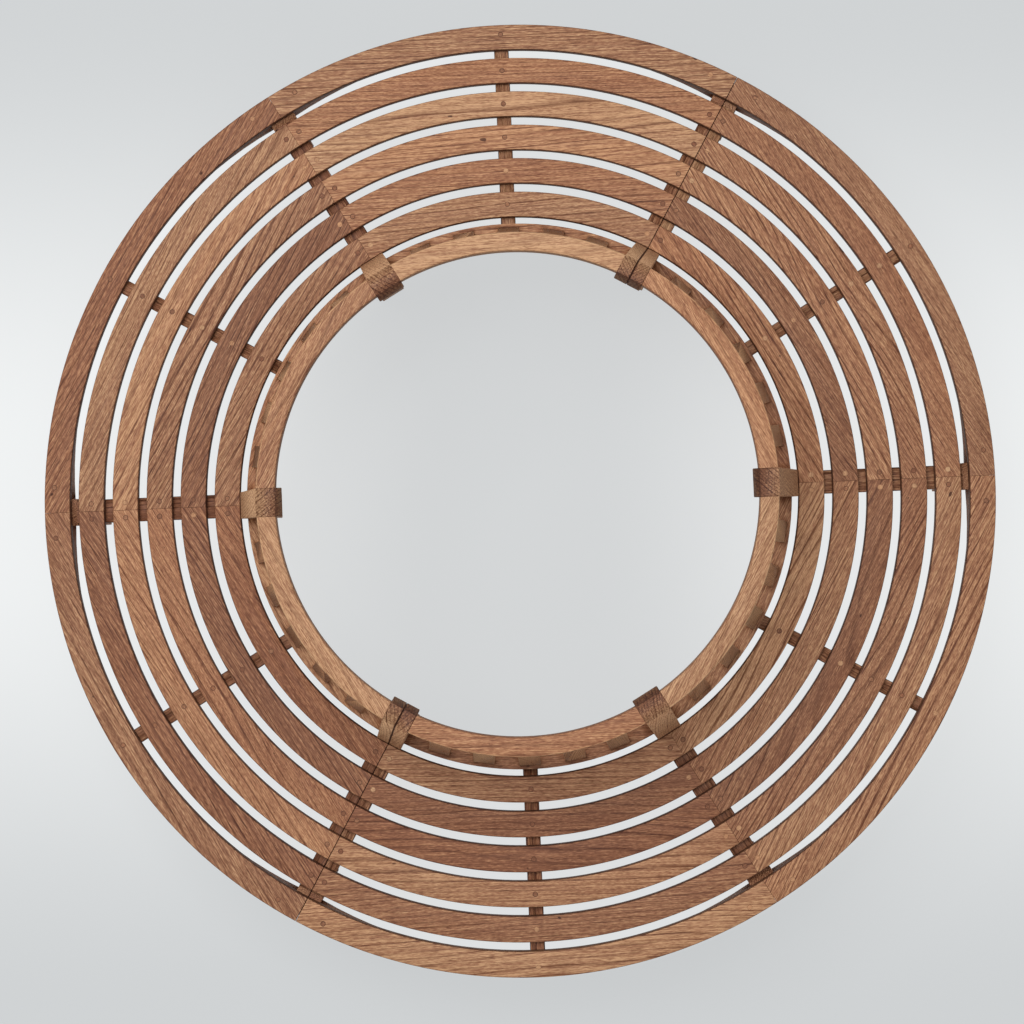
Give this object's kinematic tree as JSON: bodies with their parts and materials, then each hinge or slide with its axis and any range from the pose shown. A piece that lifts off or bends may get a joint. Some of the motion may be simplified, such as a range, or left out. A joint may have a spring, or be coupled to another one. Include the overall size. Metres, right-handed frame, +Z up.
{
  "type": "tree bench",
  "caption": "Round slatted teak bench with an inward-leaning back, made in two bolted half circles that close around a tree trunk.",
  "frame": {"origin": "on the ground, on the vertical axis of the tree hole", "axes": "+Z up; the seam between the two half circles lies along X, one half on each side of it"},
  "size_m": [2.146, 2.1458, 0.86],
  "materials": {
    "seat_teak": "planed and sanded, unfinished",
    "back_teak": "planed and sanded, unfinished",
    "frame_teak": "planed, unfinished",
    "plug_teak": "cross-grain plug, sanded flush",
    "stainless_steel": "plain stainless steel"
  },
  "bodies": {
    "root": {"back_slats_left_half": "back_teak", "back_slats_right_half": "back_teak", "front_aprons_left_half": "frame_teak", "front_aprons_right_half": "frame_teak", "front_legs": "frame_teak", "front_legs_at_seam": "frame_teak", "joint_bearers": "frame_teak", "joint_bearers_at_seam": "frame_teak", "mid_bearers": "frame_teak", "rear_posts": "frame_teak", "rear_posts_at_seam": "frame_teak", "rear_rails_left_half": "frame_teak", "rear_rails_right_half": "frame_teak", "seam_bolts": "stainless_steel", "seam_nuts": "stainless_steel", "seam_washers": "stainless_steel", "seat_plugs": "plug_teak", "seat_screws": "stainless_steel", "seat_slat_ring1_segment1": "seat_teak", "seat_slat_ring1_segment2": "seat_teak", "seat_slat_ring1_segment3": "seat_teak", "seat_slat_ring1_segment4": "seat_teak", "seat_slat_ring1_segment5": "seat_teak", "seat_slat_ring1_segment6": "seat_teak", "seat_slat_ring2_segment1": "seat_teak", "seat_slat_ring2_segment2": "seat_teak", "seat_slat_ring2_segment3": "seat_teak", "seat_slat_ring2_segment4": "seat_teak", "seat_slat_ring2_segment5": "seat_teak", "seat_slat_ring2_segment6": "seat_teak", "seat_slat_ring3_segment1": "seat_teak", "seat_slat_ring3_segment2": "seat_teak", "seat_slat_ring3_segment3": "seat_teak", "seat_slat_ring3_segment4": "seat_teak", "seat_slat_ring3_segment5": "seat_teak", "seat_slat_ring3_segment6": "seat_teak", "seat_slat_ring4_segment1": "seat_teak", "seat_slat_ring4_segment2": "seat_teak", "seat_slat_ring4_segment3": "seat_teak", "seat_slat_ring4_segment4": "seat_teak", "seat_slat_ring4_segment5": "seat_teak", "seat_slat_ring4_segment6": "seat_teak", "seat_slat_ring5_segment1": "seat_teak", "seat_slat_ring5_segment2": "seat_teak", "seat_slat_ring5_segment3": "seat_teak", "seat_slat_ring5_segment4": "seat_teak", "seat_slat_ring5_segment5": "seat_teak", "seat_slat_ring5_segment6": "seat_teak", "seat_slat_ring6_segment1": "seat_teak", "seat_slat_ring6_segment2": "seat_teak", "seat_slat_ring6_segment3": "seat_teak", "seat_slat_ring6_segment4": "seat_teak", "seat_slat_ring6_segment5": "seat_teak", "seat_slat_ring6_segment6": "seat_teak", "top_rail_segment1": "back_teak", "top_rail_segment2": "back_teak", "top_rail_segment3": "back_teak", "top_rail_segment4": "back_teak", "top_rail_segment5": "back_teak", "top_rail_segment6": "back_teak"}
  },
  "joints": []
}
